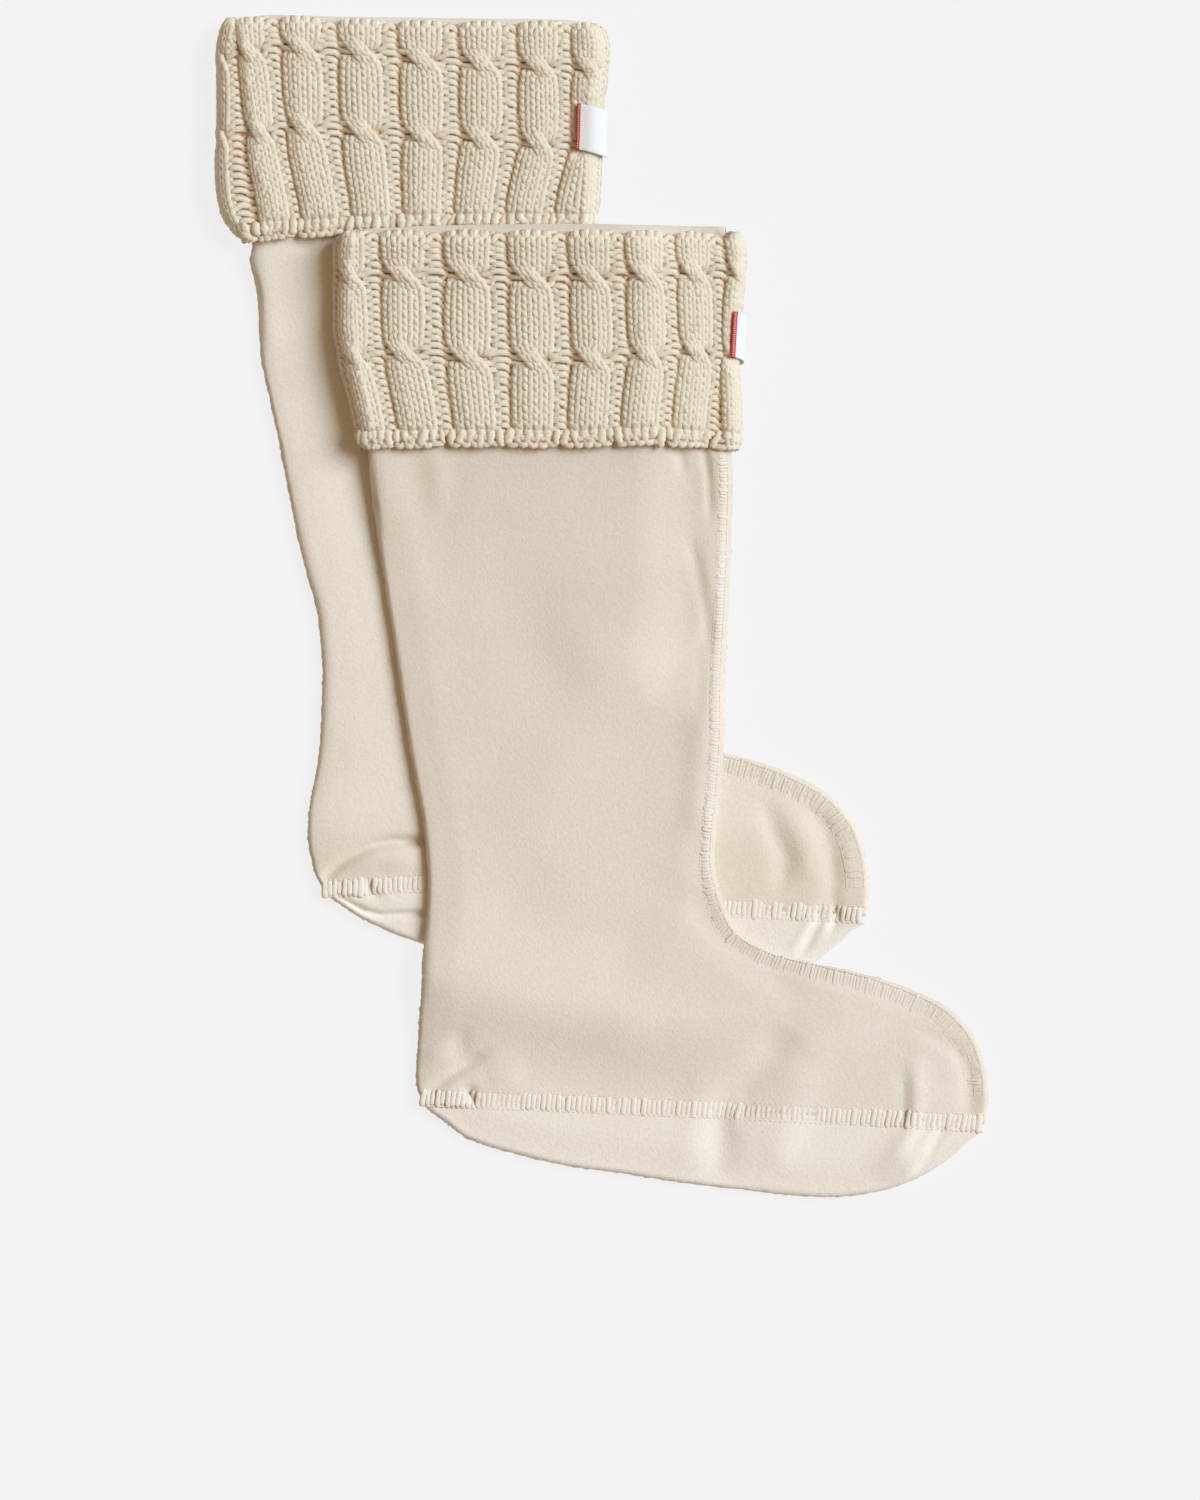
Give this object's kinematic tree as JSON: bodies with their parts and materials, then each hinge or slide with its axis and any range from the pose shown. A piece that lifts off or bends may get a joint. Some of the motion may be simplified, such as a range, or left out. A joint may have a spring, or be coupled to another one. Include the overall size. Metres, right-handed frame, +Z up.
{
  "type": "pair of boot socks",
  "caption": "Pair of tall fleece boot socks with turned-down cable-knit cuffs, laid flat, one over the other.",
  "frame": {"origin": "on the surface the pair lies on, under the middle of the pair's box", "axes": "+Y up the legs towards the cuffs, +X towards the toes, +Z up from the surface"},
  "size_m": [0.3468, 0.5298, 0.0238],
  "materials": {
    "fleece": "matte",
    "sole_fleece": "matte",
    "cable_knit": "matte",
    "label_tape": "satin"
  },
  "bodies": {
    "root": {"front_sock_upper": "fleece", "front_sock_sole": "sole_fleece", "front_sock_cuff": "cable_knit", "front_sock_label": "label_tape", "rear_sock_upper": "fleece", "rear_sock_sole": "sole_fleece", "rear_sock_cuff": "cable_knit", "rear_sock_label": "label_tape"}
  },
  "joints": []
}
